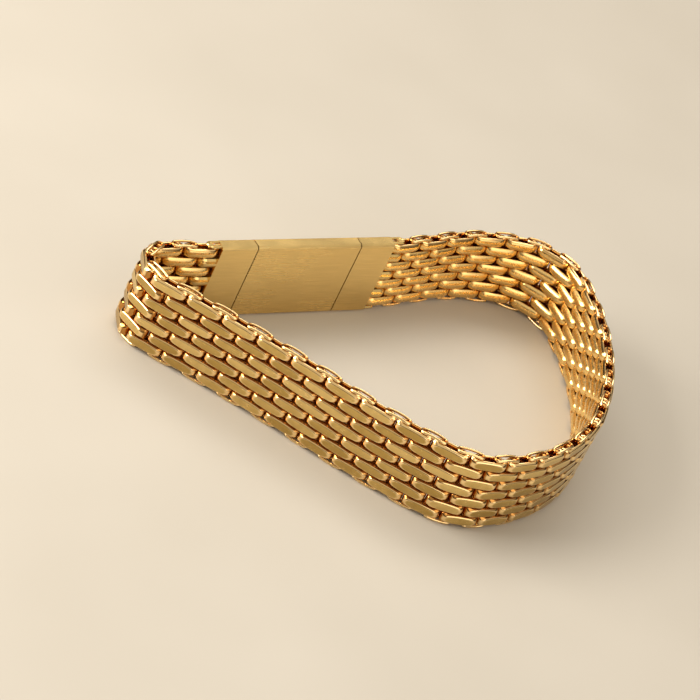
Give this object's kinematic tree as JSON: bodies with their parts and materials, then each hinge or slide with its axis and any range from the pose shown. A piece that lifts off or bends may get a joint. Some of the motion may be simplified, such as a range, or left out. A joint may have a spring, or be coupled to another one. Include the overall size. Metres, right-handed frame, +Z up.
{
  "type": "bracelet",
  "caption": "Flexible flat mesh band of elongated ring links on cross pins, with two smooth end plates and a plain clasp, closed in a loop.",
  "frame": {"origin": "centre of the bracelet's footprint, on the surface that its lower edge stands on", "axes": "+Z up across the band, +X along the loop's long way from the fold to the right bend, +Y from the near side to the far side"},
  "size_m": [0.0618, 0.055, 0.0116],
  "materials": {
    "link_gold": "yellow gold, polished flats on the outer face, satin sides",
    "frame_gold": "yellow gold, polished flats on the outer face, darkened between the links",
    "plate_gold": "yellow gold, smooth polish with fine wear",
    "clasp_gold": "yellow gold, plain brushed polish"
  },
  "bodies": {
    "root": {"row_links": "link_gold", "link_frames": "frame_gold", "end_cap_left": "plate_gold", "end_cap_right": "plate_gold", "clasp": "clasp_gold"}
  },
  "joints": []
}
